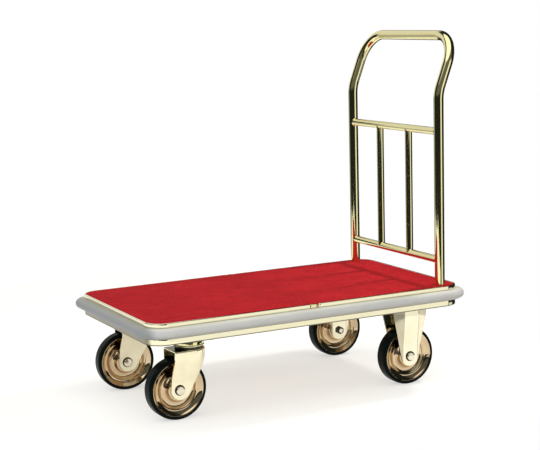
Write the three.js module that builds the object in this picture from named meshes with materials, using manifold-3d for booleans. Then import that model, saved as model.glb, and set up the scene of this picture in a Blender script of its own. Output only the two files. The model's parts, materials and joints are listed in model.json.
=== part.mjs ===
// Hotel luggage cart: a carpeted platform in a brass-plated frame with a rubber bumper, a push handle at one
// end, two swivel casters at the front and two fixed casters under the handle.
// Millimetres. The origin is on the floor under the middle of the deck, +X points to the handle, +Z up.
// "Left" is the -Y side: the left hand of a person who stands at the handle and pushes.
import * as THREE from "three";
import { mergeVertices } from "three/addons/utils/BufferGeometryUtils.js";
import Module from "manifold-3d";

// ---- driving dimensions ----
const gap = 0.3; // between pieces that touch

const carpetLength = 855.8;
const carpetWidth = 464.8;
const carpetCorner = 40;
const carpetTop = 253.1;
const carpetThickness = 5.8;
const boardThickness = 15;

const frameSheet = 2; // wall of the pressed edge channel
const lipProud = 5.6; // the lips stand this far outside the carpet's edge
const channelDepth = 14.9; // from the face of the lips to the back of the web
const frameBottom = 199.6;
const lowerLipTop = 215.5;
const upperLipBottom = 244.6;
const upperLipTop = 252.4;
const flangeEdge = -1; // the top flange reaches this far, outwards from the carpet's edge
const trimJoint = [-12, 9]; // the cover between the two halves of the edge trim

const bumperProud = 28.8; // outside the carpet's edge
const bumperBottom = 215.9;
const bumperTop = 244.3;

const railWidth = 124;
const railSheet = 3;
const railBottom = 201.2;

const postX = 384;
const postY = 210;
const postBottom = 204;
const handleTube = 12.7; // radius
const handleWall = 1.2;
const bendZ = 746; // where the uprights start to lean away from the deck
const handleLean = THREE.MathUtils.degToRad(21);
const gripZ = 887.3; // centre of the grip
const bendRadius = 100;
const gripCorner = 75;
const crossbarTube = 9.5; // radius
const upperCrossbarZ = 647.5;
const lowerCrossbarZ = 317;
const balusterY = 70;

const wheelRadius = 75;
const tyreWidth = 38;
const rimRadius = 66;
const hubRadius = 22;
const hubHalf = 21.3;
const axleRadius = 8;
const threadRadius = 6;

const swivelX = -306.5;
const swivelY = 161;
const trail = 38; // from the swivel axis to the axle
const swivelRest = { left: 1.2, right: -3.9 }; // degrees, as the casters stand at rest
const fixedX = 294;
const fixedY = 181;

const legSheet = 3;
const legFoot = 24.7; // outer face of a leg at the axle, from the wheel's middle plane
const yokeHead = 34.5; // the same at the crown of a swivel yoke
const yokeTop = 171;
const forkHead = 36.5; // the same at the plate of a fixed fork
const plateTop = 200.9;
const plateSheet = 4.2;
const kingpinRadius = 8;

// ---- materials ----
function finish(color, roughness, metalness) {
  return new THREE.MeshStandardMaterial({ color, roughness, metalness });
}
const brass = finish(0xe6cf8a, 0.15, 1);
const bronze = finish(0xb98a4e, 0.2, 1);
const zinc = finish(0xb4b4ae, 0.4, 1);
const darkSteel = finish(0x2e2c2a, 0.45, 1);
const carpetRed = finish(0xb01c26, 0.95, 0);
const plywood = finish(0xa98658, 0.8, 0);
const bumperGrey = finish(0xa9abb0, 0.5, 0);
const tyreBlack = finish(0x0c1110, 0.3, 0);

// ---- solids ----
const wasm = await Module();
wasm.setup();

// The geometry with only its positions, shared vertices merged and its faces turned outwards.
function closed(geometry) {
  const bare = new THREE.BufferGeometry();
  bare.setAttribute("position", geometry.getAttribute("position"));
  bare.setIndex(geometry.getIndex());
  const merged = mergeVertices(bare, 1e-3);
  const at = merged.getAttribute("position");
  const index = merged.getIndex().array;
  const [a, b, c] = [new THREE.Vector3(), new THREE.Vector3(), new THREE.Vector3()];
  let volume = 0;
  for (let i = 0; i < index.length; i += 3) {
    a.fromBufferAttribute(at, index[i]);
    b.fromBufferAttribute(at, index[i + 1]);
    c.fromBufferAttribute(at, index[i + 2]);
    volume += a.dot(b.cross(c));
  }
  if (volume < 0) {
    for (let i = 0; i < index.length; i += 3) {
      [index[i + 1], index[i + 2]] = [index[i + 2], index[i + 1]];
    }
  }
  return merged;
}

function solid(geometry) {
  const shape = closed(geometry);
  const mesh = new wasm.Mesh({
    numProp: 3,
    vertProperties: shape.getAttribute("position").array,
    triVerts: new Uint32Array(shape.getIndex().array),
  });
  return new wasm.Manifold(mesh);
}

function geometryOf(body) {
  const mesh = body.getMesh();
  const geometry = new THREE.BufferGeometry();
  geometry.setAttribute("position", new THREE.BufferAttribute(mesh.vertProperties, 3));
  geometry.setIndex(new THREE.BufferAttribute(mesh.triVerts, 1));
  return geometry;
}

const cut = (base, ...tools) => geometryOf(tools.reduce((body, t) => body.subtract(solid(t)), solid(base)));
function join(first, ...others) {
  return geometryOf(others.reduce((body, part) => body.add(solid(part)), solid(first)));
}
const common = (a, b) => geometryOf(solid(a).intersect(solid(b)));

// ---- shapes ----
const outline = (points) => new THREE.Shape(points.map(([x, y]) => new THREE.Vector2(x, y)));

function roundedRectangle(halfX, halfY, radius) {
  const shape = new THREE.Shape();
  const quarter = Math.PI / 2;
  shape.absarc(halfX - radius, halfY - radius, radius, 0, quarter);
  shape.absarc(radius - halfX, halfY - radius, radius, quarter, 2 * quarter);
  shape.absarc(radius - halfX, radius - halfY, radius, 2 * quarter, 3 * quarter);
  shape.absarc(halfX - radius, radius - halfY, radius, 3 * quarter, 4 * quarter);
  shape.closePath();
  return shape;
}

// A plate with the outline in X and Y, from one height to another. three.js cuts an arc into twice
// curveSegments, so the deck's corners match those of the frame swept round them.
const cornerSteps = 6;
function plate(shape, low, high, options = {}) {
  const settings = { depth: high - low, bevelEnabled: false, curveSegments: cornerSteps / 2, ...options };
  return new THREE.ExtrudeGeometry(shape, settings).translate(0, 0, low);
}

// An outline in X and Z, as thick in Y as from one value to the other.
function sidePlate(shape, low, high) {
  const flat = new THREE.ExtrudeGeometry(shape, {
    depth: high - low,
    bevelEnabled: false,
    curveSegments: 6,
  });
  return flat.rotateX(Math.PI / 2).translate(0, high, 0);
}

const ring = (points) => [...points, points[0]];

// A profile of [radius, height] pairs turned about Y, which is how a wheel and its axle lie.
function turnedY(points, segments) {
  return new THREE.LatheGeometry(points.map(([r, y]) => new THREE.Vector2(r, y)), segments);
}

const turnedZ = (points, segments) => turnedY(points, segments).rotateX(Math.PI / 2);
const rodProfile = (radius, low, high) => [[0, low], [radius, low], [radius, high], [0, high]];
const rodY = (radius, low, high, segments = 16) => turnedY(rodProfile(radius, low, high), segments);
const rodZ = (radius, low, high, segments = 24) => turnedZ(rodProfile(radius, low, high), segments);
const rodX = (radius, low, high, segments = 14) => rodZ(radius, low, high, segments).rotateY(Math.PI / 2);

const tubeProfile = (radius, wall, low, high) =>
  ring([[radius - wall, low], [radius, low], [radius, high], [radius - wall, high]]);

// A route through stations, each a point and a direction, which an extrusion visits one by one.
class Route extends THREE.Curve {
  constructor(stations) {
    super();
    this.stations = stations;
  }
  station(u) {
    return this.stations[Math.round(u * (this.stations.length - 1))];
  }
  getPoint(u, target = new THREE.Vector3()) {
    return target.copy(this.station(u).point);
  }
  getPointAt(u, target) {
    return this.getPoint(u, target);
  }
  getTangent(u, target = new THREE.Vector3()) {
    return target.copy(this.station(u).direction);
  }
  getTangentAt(u, target) {
    return this.getTangent(u, target);
  }
}

function sweep(shape, stations, curveSegments = 6) {
  const options = { steps: stations.length - 1, extrudePath: new Route(stations), curveSegments };
  return new THREE.ExtrudeGeometry(shape, options);
}

const station = (point, direction) => ({ point, direction: direction.clone().normalize() });
const vec = (x, y, z) => new THREE.Vector3(x, y, z);

// Stations round one corner of the deck, counter-clockwise, along the carpet's edge.
function deckCorner(signX, signY, fromDegrees) {
  const centreX = signX * (carpetLength / 2 - carpetCorner);
  const centreY = signY * (carpetWidth / 2 - carpetCorner);
  return Array.from({ length: cornerSteps + 1 }, (_, i) => {
    const angle = THREE.MathUtils.degToRad(fromDegrees + (90 * i) / cornerSteps);
    const [c, s] = [Math.cos(angle), Math.sin(angle)];
    return station(vec(centreX + carpetCorner * c, centreY + carpetCorner * s, 0), vec(-s, c, 0));
  });
}

// On a route in the deck's plane an extrusion lays its outline's X downwards and its Y inwards.
const edgeSection = (points) => outline(points.map(([out, z]) => [-z, -out]));

// ---- the cart and its sub-assemblies ----
const cart = new THREE.Group();

function piece(parent, name, geometry, material) {
  const mesh = new THREE.Mesh(geometry, material);
  mesh.name = name;
  parent.add(mesh);
  return mesh;
}

// ---- platform ----
const webInner = lipProud - channelDepth; // outwards from the carpet's edge
const boardInset = -webInner + gap;
const boardTop = carpetTop - carpetThickness - gap;
const boardBottom = boardTop - boardThickness;
const postHoles = [-postY, postY].map((y) => {
  const hole = rodZ(handleTube + gap, postBottom, carpetTop + 5);
  return hole.translate(postX, y, 0);
});

function deckPlate(inset, low, high) {
  const halfX = carpetLength / 2 - inset;
  const halfY = carpetWidth / 2 - inset;
  return plate(roundedRectangle(halfX, halfY, carpetCorner - inset), low, high);
}

// The board is notched round the posts, out to its edge.
const notches = [-1, 1].map((side) => {
  const width = 2 * (handleTube + gap);
  return new THREE.BoxGeometry(width, 40, 40).translate(postX, side * (postY + 20), boardTop - 10);
});
const board = cut(deckPlate(boardInset, boardBottom, boardTop), ...postHoles, ...notches);
piece(cart, "deck_board", board, plywood);
piece(cart, "carpet", cut(deckPlate(0, carpetTop - carpetThickness, carpetTop), ...postHoles), carpetRed);

// The frame is a channel bent into one ring: a web, a flange along its top, and a flange with a deep lower lip.
const flangeTop = upperLipBottom - gap;
const channelSection = edgeSection([
  [webInner, frameBottom],
  [lipProud - 1.2, frameBottom],
  [lipProud, frameBottom + 1.2],
  [lipProud, lowerLipTop],
  [lipProud - frameSheet, lowerLipTop],
  [lipProud - frameSheet, frameBottom + frameSheet],
  [webInner + frameSheet, frameBottom + frameSheet],
  [webInner + frameSheet, flangeTop - frameSheet],
  [flangeEdge, flangeTop - frameSheet],
  [flangeEdge, flangeTop],
  [webInner, flangeTop],
]);
const sideEnd = (x, side, direction) => station(vec(x, side * (carpetWidth / 2), 0), vec(direction, 0, 0));
function frontRoute(x) {
  const corners = [...deckCorner(-1, 1, 90), ...deckCorner(-1, -1, 180)];
  return [sideEnd(x, 1, -1), ...corners, sideEnd(x, -1, 1)];
}

function rearRoute(x) {
  const corners = [...deckCorner(1, -1, -90), ...deckCorner(1, 1, 0)];
  return [sideEnd(x, -1, 1), ...corners, sideEnd(x, 1, -1)];
}

const channelRing = join(sweep(channelSection, frontRoute(1)), sweep(channelSection, rearRoute(-1)));
piece(cart, "edge_frame", channelRing, brass);

// The edge trim lies on the frame's flange with a bead outside the carpet. It comes in two halves, and a short
// cover closes the joint on each long side.
const trimSection = edgeSection([
  [webInner, upperLipBottom],
  [lipProud, upperLipBottom],
  [lipProud, upperLipTop - 1.6],
  [lipProud - 1.2, upperLipTop],
  [gap + 0.8, upperLipTop],
  [gap, upperLipTop - 1],
  [gap, boardTop],
  [webInner, boardTop],
]);
piece(cart, "front_edge_trim", sweep(trimSection, frontRoute(trimJoint[0] - gap)), brass);
piece(cart, "rear_edge_trim", sweep(trimSection, rearRoute(trimJoint[1] + gap)), brass);
for (const [name, side] of [["left", -1], ["right", 1]]) {
  const stations = trimJoint.map((x) => sideEnd(x, side, 1));
  const route = side < 0 ? stations : trimJoint.map((x) => sideEnd(x, side, -1)).reverse();
  piece(cart, `${name}_trim_cover`, sweep(trimSection, route), brass);
}

// The bumper: a D-shaped nose between the lips, with a foot behind the lower lip. Its ends meet at the rear.
const noseHeight = (bumperTop - bumperBottom) / 2;
const noseRoot = 8;
const nose = Array.from({ length: 8 }, (_, i) => {
  const angle = -Math.PI / 2 + (Math.PI * i) / 7;
  const out = noseRoot + (bumperProud - noseRoot) * Math.cos(angle) ** 0.8;
  return [out, bumperBottom + noseHeight * (1 + Math.sin(angle))];
});
const footFront = lipProud - frameSheet - gap;
const footBack = webInner + frameSheet + gap;
const footTop = flangeTop - frameSheet - gap;
const bumperSection = edgeSection([
  [footBack, frameBottom + frameSheet + 1],
  [footFront, frameBottom + frameSheet + 1],
  [footFront, bumperBottom],
  ...nose,
  [flangeEdge + gap, bumperTop],
  [flangeEdge + gap, footTop],
  [footBack, footTop],
]);
const bumperEnd = (side) => station(vec(carpetLength / 2, side * gap, 0), vec(0, 1, 0));
const bumperRoute = [
  bumperEnd(1),
  ...deckCorner(1, 1, 0),
  ...deckCorner(-1, 1, 90),
  ...deckCorner(-1, -1, 180),
  ...deckCorner(1, -1, 270),
  bumperEnd(-1),
];
piece(cart, "bumper", sweep(bumperSection, bumperRoute), bumperGrey);

// Channels across the frame, open upwards, that carry the casters.
const railTop = boardBottom - gap;
const railLength = 2 * (carpetWidth / 2 + webInner - gap);
function casterRail() {
  const outside = new THREE.BoxGeometry(railWidth, railLength, railTop - railBottom);
  const inside = new THREE.BoxGeometry(railWidth - 2 * railSheet, railLength + 2, railTop - railBottom);
  const middle = (railTop + railBottom) / 2;
  return cut(outside.translate(0, 0, middle), inside.translate(0, 0, middle + railSheet));
}
piece(cart, "front_caster_rail", casterRail(), zinc).position.x = swivelX;
piece(cart, "rear_caster_rail", casterRail(), zinc).position.x = fixedX;

// ---- push handle ----
const up = vec(0, 0, 1);
const lean = vec(Math.sin(handleLean), 0, Math.cos(handleLean));
const across = vec(0, 1, 0);
const bendPoint = vec(postX, -postY, bendZ);
const bendTangent = bendRadius * Math.tan(handleLean / 2);
const leanLength = (gripZ - bendZ) / Math.cos(handleLean);

// Stations round an arc that starts at a point, going one way and turning towards another.
function arc(start, forward, sideways, radius, angle, steps) {
  return Array.from({ length: steps + 1 }, (_, i) => {
    const a = (angle * i) / steps;
    const point = start.clone();
    point.addScaledVector(forward, radius * Math.sin(a));
    point.addScaledVector(sideways, radius * (1 - Math.cos(a)));
    const direction = forward.clone().multiplyScalar(Math.cos(a)).addScaledVector(sideways, Math.sin(a));
    return station(point, direction);
  });
}

const bendStart = bendPoint.clone().addScaledVector(up, -bendTangent);
const cornerStart = bendPoint.clone().addScaledVector(lean, leanLength - gripCorner);
const leftHalf = [
  station(vec(postX, -postY, postBottom), up),
  ...arc(bendStart, up, vec(1, 0, 0), bendRadius, handleLean, 3),
  ...arc(cornerStart, lean, across, gripCorner, Math.PI / 2, 7),
];
const mirrorY = vec(1, -1, 1);
const rightHalf = leftHalf
  .map(({ point, direction }) => {
    const back = direction.clone().multiply(mirrorY).negate();
    return station(point.clone().multiply(mirrorY), back);
  })
  .reverse();

function disc(radius, wall) {
  const shape = new THREE.Shape().absarc(0, 0, radius, 0, 2 * Math.PI);
  shape.holes.push(new THREE.Path().absarc(0, 0, radius - wall, 0, 2 * Math.PI));
  return shape;
}
const boltZ = 217;
const boltHole = (y) => rodX(4 + gap, -30, 30).translate(postX, y, boltZ);
const bentTube = sweep(disc(handleTube, handleWall), [...leftHalf, ...rightHalf], 6);
piece(cart, "handle_tube", cut(bentTube, boltHole(-postY), boltHole(postY)), brass);

// Bars between the uprights, each end shaped to the tube that it is welded to.
const uprights = [-postY, postY].map((y) => {
  const rod = rodZ(handleTube + gap, lowerCrossbarZ - 60, upperCrossbarZ + 60);
  return rod.translate(postX, y, 0);
});
for (const [name, z] of [["upper_crossbar", upperCrossbarZ], ["lower_crossbar", lowerCrossbarZ]]) {
  const bar = turnedY(tubeProfile(crossbarTube, handleWall, -postY, postY), 16).translate(postX, 0, z);
  piece(cart, name, cut(bar, ...uprights), brass);
}
const crossbars = [lowerCrossbarZ, upperCrossbarZ].map((z) =>
  rodY(crossbarTube + gap, -postY, postY, 24).translate(postX, 0, z),
);
for (const [name, side] of [["left_baluster", -1], ["right_baluster", 1]]) {
  const bar = turnedZ(tubeProfile(crossbarTube, handleWall, lowerCrossbarZ, upperCrossbarZ), 16);
  piece(cart, name, cut(bar.translate(postX, side * balusterY, 0), ...crossbars), brass);
}

// A saddle under the board holds each post against the web, with a bolt across it.
const saddleHalf = handleTube + gap + 3.2;
for (const [name, side] of [["left", -1], ["right", 1]]) {
  const back = postY - saddleHalf;
  const front = postY + 9;
  const height = railTop - frameBottom - frameSheet - 1;
  const block = new THREE.BoxGeometry(2 * saddleHalf, front - back, height);
  block.translate(postX, (side * (front + back)) / 2, railTop - height / 2);
  const bore = rodZ(handleTube + gap, 190, 240).translate(postX, side * postY, 0);
  const mouth = new THREE.BoxGeometry(2 * (handleTube + gap), 30, 60);
  mouth.translate(postX, side * (postY + 15), railTop - height / 2);
  const saddle = cut(block, bore, mouth, boltHole(side * postY));
  piece(cart, `${name}_handle_saddle`, saddle, zinc);

  const head = saddleHalf + gap;
  const boltProfile = [
    [0, -head - 5],
    [6.5, -head - 5],
    [6.5, -head],
    [4, -head],
    [4, head + 6],
    [0, head + 6],
  ];
  const bolt = turnedZ(boltProfile, 12);
  const placed = bolt.rotateY(Math.PI / 2).translate(postX, side * postY, boltZ);
  piece(cart, `${name}_handle_bolt`, placed, zinc);
}

// ---- wheels ----
const flangeFoot = 7.6; // half the width of the tyre's root
const discProfile = ring([
  [hubRadius + gap, 0.2],
  [50, 0.2],
  [52.6, flangeFoot],
  [rimRadius, 16.2],
  [rimRadius, 17.8],
  [64.6, 17.8],
  [51, 9.8],
  [47.8, 3.4],
  [33.5, 3.4],
  [28.6, 7],
  [27.4, 19.6],
  [hubRadius + gap, 20.6],
]);
const tyreSide = [
  [53.8, flangeFoot - 0.6],
  [rimRadius + 0.9, 15.9],
  [rimRadius + 0.9, 18.2],
  [70.5, tyreWidth / 2],
  [73.9, 16.4],
  [wheelRadius, 11.5],
];
const tyreProfile = ring([...tyreSide.map(([r, y]) => [r, -y]), ...[...tyreSide].reverse()]);
const hubProfile = ring([
  [axleRadius + gap, -hubHalf],
  [hubRadius, -hubHalf],
  [hubRadius, hubHalf],
  [axleRadius + gap, hubHalf],
]);

// outerSide is -1 where the outside of the wheel faces -Y.
function wheel(parent, prefix, outerSide) {
  const discFacing = (side) => turnedY(discProfile.map(([r, y]) => [r, side * y]), 16);
  piece(parent, `${prefix}_outer_wheel_disc`, closed(discFacing(outerSide)), bronze);
  piece(parent, `${prefix}_inner_wheel_disc`, closed(discFacing(-outerSide)), bronze);
  piece(parent, `${prefix}_wheel_hub`, closed(turnedY(hubProfile, 16)), zinc);
  piece(parent, `${prefix}_tyre`, closed(turnedY(tyreProfile, 24)), tyreBlack);
}

// headSide is the side of the axle bolt's head, +1 or -1 along Y; the nut is on the other side.
const washerSheet = 1.2;
function axle(parent, prefix, headSide) {
  const seat = legFoot + gap;
  const underHead = seat + washerSheet + gap;
  const washer = ring([
    [axleRadius + gap, seat],
    [13, seat],
    [13, seat + washerSheet],
    [axleRadius + gap, seat + washerSheet],
  ]);
  const headTop = underHead + 5;
  const bolt = [
    [0, headTop],
    [9.6, headTop],
    [10.6, headTop - 1.2],
    [10.6, underHead],
    [axleRadius, underHead],
    [axleRadius, -seat + 0.2],
    [threadRadius, -seat + 0.2],
    [threadRadius, -seat - 12.5],
    [0, -seat - 12.5],
  ];
  const facing = (points) => points.map(([r, y]) => [r, headSide * y]);
  const [nutLow, nutHigh] = [-headSide * seat, -headSide * (seat + 9.5)].sort((a, b) => a - b);
  const nut = cut(rodY(11, nutLow, nutHigh, 6), rodY(threadRadius + gap, -60, 60, 16));
  piece(parent, `${prefix}_axle_bolt`, closed(turnedY(facing(bolt), 12)), zinc);
  piece(parent, `${prefix}_axle_washer`, closed(turnedY(facing(washer), 16)), zinc);
  piece(parent, `${prefix}_axle_nut`, nut, zinc);
}

// ---- forks ----
// Draws a pressed fork's sides together: full width above one height, the axle's width below another.
function drawnIn(geometry, head, foot, high, low) {
  const at = geometry.getAttribute("position");
  for (let i = 0; i < at.count; i++) {
    const t = THREE.MathUtils.clamp((at.getZ(i) - low) / (high - low), 0, 1);
    at.setY(i, (at.getY(i) * (foot + (head - foot) * t)) / head);
  }
  return geometry;
}

const footLow = 48;
const legLevels = { steps: 6, curveSegments: 4 };
const axleHole = (x) => rodY(axleRadius + gap, -60, 60, 16).translate(x, 0, wheelRadius);

// A swivel yoke, about its swivel axis: a crown that is round behind, with a short skirt and two legs.
function yoke() {
  const backX = 40;
  const frontX = -50.5;
  const endX = -60;
  const shell = (inset, reach, low, high) => {
    const shape = new THREE.Shape();
    const half = yokeHead - inset;
    shape.moveTo(reach, -half);
    shape.lineTo(0, -half);
    shape.absellipse(0, 0, backX - inset, half, -Math.PI / 2, Math.PI / 2);
    shape.lineTo(reach, half);
    shape.closePath();
    const shellBody = plate(shape, low, high, legLevels);
    return drawnIn(shellBody, yokeHead - inset, legFoot - inset, 158, 98);
  };
  const outside = shell(0, -70, footLow, yokeTop);
  const inside = shell(legSheet, -80, footLow - 5, yokeTop - legSheet - 0.5);
  const hollow = cut(outside, inside);
  const side = new THREE.Shape();
  side.moveTo(frontX, yokeTop + 1);
  side.lineTo(frontX - 1.5, 140);
  side.lineTo(endX + 3.5, 114);
  side.absarc(endX + 25, wheelRadius + 1, 25, Math.PI * 0.93, Math.PI * 1.86);
  side.lineTo(17, 116);
  side.lineTo(31, 143);
  side.lineTo(37, 149.5);
  side.lineTo(backX + 2, 150.5);
  side.lineTo(backX + 2, yokeTop + 1);
  side.closePath();
  const pressed = common(hollow, sidePlate(side, -60, 60));
  return cut(pressed, axleHole(-trail), rodZ(kingpinRadius + 0.5, 150, 180));
}

// A fixed fork, about the point above its axle: a plate and two legs, each a flat panel with swept-back
// flanks.
function fixedFork() {
  const panel = 22;
  const flank = Math.tan(THREE.MathUtils.degToRad(20));
  const shell = (inset, reach, low, high) => {
    const half = forkHead - inset;
    const end = half - (reach - panel) * flank;
    const corners = [[-reach, -end], [-panel, -half], [panel, -half], [reach, -end]];
    const shape = outline([...corners, ...corners.map(([x, y]) => [-x, -y])]);
    return drawnIn(plate(shape, low, high, legLevels), half, legFoot - inset, 185, 98);
  };
  const outside = shell(0, 60, footLow, plateTop);
  const inside = shell(legSheet, 70, footLow - 5, plateTop - plateSheet);
  const hollow = cut(outside, inside);
  const side = new THREE.Shape();
  side.moveTo(-50.5, plateTop + 1);
  side.lineTo(-49.5, 184);
  side.lineTo(-37.4, 131);
  side.absarc(0, wheelRadius, 25, Math.PI * 0.96, Math.PI * 2.04);
  side.lineTo(37.4, 131);
  side.lineTo(49.5, 184);
  side.lineTo(50.5, plateTop + 1);
  side.closePath();
  const legs = cut(common(hollow, sidePlate(side, -60, 60)), axleHole(0));
  return join(legs, plate(roundedRectangle(57, 40, 8), plateTop - plateSheet, plateTop));
}

// ---- swivel casters ----
const crownGap = 0.4;
const cageTop = 177;
const raceTop = 189;
for (const [name, side, tag] of [["front_left", -1, "left"], ["front_right", 1, "right"]]) {
  const mount = new THREE.Group();
  mount.position.set(swivelX, side * swivelY, 0);
  cart.add(mount);

  const boss = turnedZ(rodProfile(30, 183.5, plateTop - plateSheet / 2), 24);
  const topPlate = plate(roundedRectangle(56, 45, 9), plateTop - plateSheet, plateTop);
  const pinHole = rodZ(kingpinRadius + gap, 150, 220);
  piece(mount, `${name}_mounting_plate`, cut(join(topPlate, boss), pinHole), zinc);

  const race = ring([
    [kingpinRadius + 2, cageTop + gap],
    [37.4, cageTop + gap],
    [38.8, cageTop + 1.6],
    [37.2, cageTop + 4],
    [37.2, raceTop],
    [34.6, raceTop],
    [34.6, 183.1],
    [kingpinRadius + 2, 183.1],
  ]);
  piece(mount, `${name}_race_ring`, closed(turnedZ(race, 20)), brass);

  const headTop = yokeTop - 3.5 - crownGap;
  const pin = [
    [0, 160.6],
    [11, 160.6],
    [14, 163.5],
    [14, headTop],
    [kingpinRadius, headTop],
    [kingpinRadius, plateTop - 0.5],
    [0, plateTop - 0.5],
  ];
  piece(mount, `${name}_kingpin`, closed(turnedZ(pin, 20)), zinc);

  const swivel = new THREE.Group();
  swivel.rotation.z = THREE.MathUtils.degToRad(swivelRest[tag]);
  mount.add(swivel);
  const cage = ring([
    [kingpinRadius + 2, yokeTop + gap],
    [34, yokeTop + gap],
    [34, cageTop],
    [kingpinRadius + 2, cageTop],
  ]);
  piece(swivel, `${name}_ball_cage`, closed(turnedZ(cage, 16)), darkSteel);
  piece(swivel, `${name}_yoke`, yoke(), brass);

  const hub = new THREE.Group();
  hub.position.set(-trail, 0, wheelRadius);
  swivel.add(hub);
  axle(hub, name, -1);
  wheel(hub, name, side);
}

// ---- fixed casters ----
for (const [name, side] of [["rear_left", -1], ["rear_right", 1]]) {
  const mount = new THREE.Group();
  mount.position.set(fixedX, side * fixedY, 0);
  cart.add(mount);
  piece(mount, `${name}_fork`, fixedFork(), brass);

  const hub = new THREE.Group();
  hub.position.z = wheelRadius;
  mount.add(hub);
  axle(hub, name, side);
  wheel(hub, name, side);
}

export default cart;
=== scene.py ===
# A hotel luggage cart: a carpeted board in a polished brass edge frame with a rubber bumper, a bent tube
# handle with crossbars and balusters, two swivel casters in front and two fixed casters under the handle.
# Metres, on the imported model's frame: the floor is at zero and +X points from the front edge to the handle.
import json

import bmesh
import bpy
import numpy as np
from mathutils import Matrix, Vector
from mathutils.geometry import tessellate_polygon

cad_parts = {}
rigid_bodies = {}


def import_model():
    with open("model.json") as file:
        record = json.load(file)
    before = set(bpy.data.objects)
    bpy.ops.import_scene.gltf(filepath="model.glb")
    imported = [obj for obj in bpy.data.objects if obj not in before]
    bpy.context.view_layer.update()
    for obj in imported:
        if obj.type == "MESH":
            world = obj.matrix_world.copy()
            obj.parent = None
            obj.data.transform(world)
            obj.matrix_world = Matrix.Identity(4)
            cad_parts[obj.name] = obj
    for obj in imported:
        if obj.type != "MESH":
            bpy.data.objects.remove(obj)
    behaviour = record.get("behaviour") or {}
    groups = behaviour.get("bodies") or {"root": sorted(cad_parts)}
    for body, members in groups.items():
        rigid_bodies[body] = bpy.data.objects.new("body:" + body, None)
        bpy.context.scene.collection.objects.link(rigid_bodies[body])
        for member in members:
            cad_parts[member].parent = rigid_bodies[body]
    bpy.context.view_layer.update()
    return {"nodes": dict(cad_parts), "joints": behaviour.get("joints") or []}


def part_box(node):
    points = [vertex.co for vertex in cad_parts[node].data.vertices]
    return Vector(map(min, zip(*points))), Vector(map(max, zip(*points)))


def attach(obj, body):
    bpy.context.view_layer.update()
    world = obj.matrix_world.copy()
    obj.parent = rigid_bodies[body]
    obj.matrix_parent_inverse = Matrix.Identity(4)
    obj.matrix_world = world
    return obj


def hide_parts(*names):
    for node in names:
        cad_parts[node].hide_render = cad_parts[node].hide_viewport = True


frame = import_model()

# ---- the board ----
# Plywood, 15 mm thick, lying in the channel of the edge frame. The carpet hides its top, and its veneer shows
# from below between the caster rails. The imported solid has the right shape, so it only gets its wood.
MM = 0.001


class Wire:
    """A shader socket that takes part in Python sums: each of a + b, 1 - a, a * b, a / b and a ** b adds a
    Math node."""

    def __init__(self, finish, socket):
        self.finish = finish
        self.socket = socket

    def sum(self, operation, *terms):
        return self.finish.node("Math", {"operation": operation}, dict(enumerate(terms)))

    def __add__(self, other):
        return self.sum("ADD", self, other)

    def __sub__(self, other):
        return self.sum("SUBTRACT", self, other)

    def __rsub__(self, other):
        return self.sum("SUBTRACT", other, self)

    def __mul__(self, other):
        return self.sum("MULTIPLY", self, other)

    def __truediv__(self, other):
        return self.sum("DIVIDE", self, other)

    def __rtruediv__(self, other):
        return self.sum("DIVIDE", other, self)

    def __pow__(self, other):
        return self.sum("POWER", self, other)

    __radd__ = __add__
    __rmul__ = __mul__

    def between(self, start, end):
        """0 below start, 1 above end, and a smooth step from one to the other."""
        settings = {"interpolation_type": "SMOOTHSTEP"}
        return self.finish.node("MapRange", settings, {"Value": self, "From Min": start, "From Max": end})


class Finish:
    """A material of one Principled surface. The keywords are the surface's sockets, with spaces written as
    _."""

    def __init__(self, name, **sockets):
        self.material = bpy.data.materials.new(name)
        self.material.use_nodes = True
        self.tree = self.material.node_tree
        self.surface = self.tree.nodes["Principled BSDF"]
        self.set(**sockets)

    def node(self, kind, settings, sockets, out=0):
        """Adds a node, sets its settings and then its sockets, which are values or wires, and returns one
        output."""
        node = self.tree.nodes.new("ShaderNode" + kind)
        for name, value in settings.items():
            setattr(node, name, value)
        for key, value in sockets.items():
            self.feed(node.inputs[key], value)
        return Wire(self, node.outputs[out])

    def feed(self, socket, value):
        if isinstance(value, Wire):
            self.tree.links.new(value.socket, socket)
        else:
            socket.default_value = value

    def set(self, **sockets):
        for name, value in sockets.items():
            self.feed(self.surface.inputs[name.replace("_", " ")], value)

    def place(self, stretch=(1, 1, 1), turn=(0, 0, 0)):
        """The point on the cart, in metres, stretched along the three axes."""
        point = self.node("TexCoord", {}, {}, "Object")
        return self.node("Mapping", {}, {"Vector": point, "Scale": stretch, "Rotation": turn})

    def along(self, axis):
        """The distance along one of the cart's axes, in metres."""
        return self.node("SeparateXYZ", {}, {0: self.place()}, axis)

    def noise(self, where, scale, detail=3.0, roughness=0.5):
        sockets = {"Vector": where, "Scale": scale, "Detail": detail, "Roughness": roughness}
        return self.node("TexNoise", {}, sockets, "Fac")

    def blend(self, share, low, high):
        """Colour low where share is 0 and high where it is 1."""
        return self.node("Mix", {"data_type": "RGBA"}, {0: share, 6: low, 7: high}, 2)

    def relief(self, height, depth, strength=1.0):
        """A normal from a height field of 0 to 1 that stands for that depth in metres."""
        return self.node("Bump", {}, {"Height": height, "Distance": depth, "Strength": strength})

    def on(self, *nodes):
        """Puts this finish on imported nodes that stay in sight."""
        for name in nodes:
            node = frame["nodes"][name]
            node.data.materials.clear()
            node.data.materials.append(self.material)
            for polygon in node.data.polygons:
                polygon.material_index = 0


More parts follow.
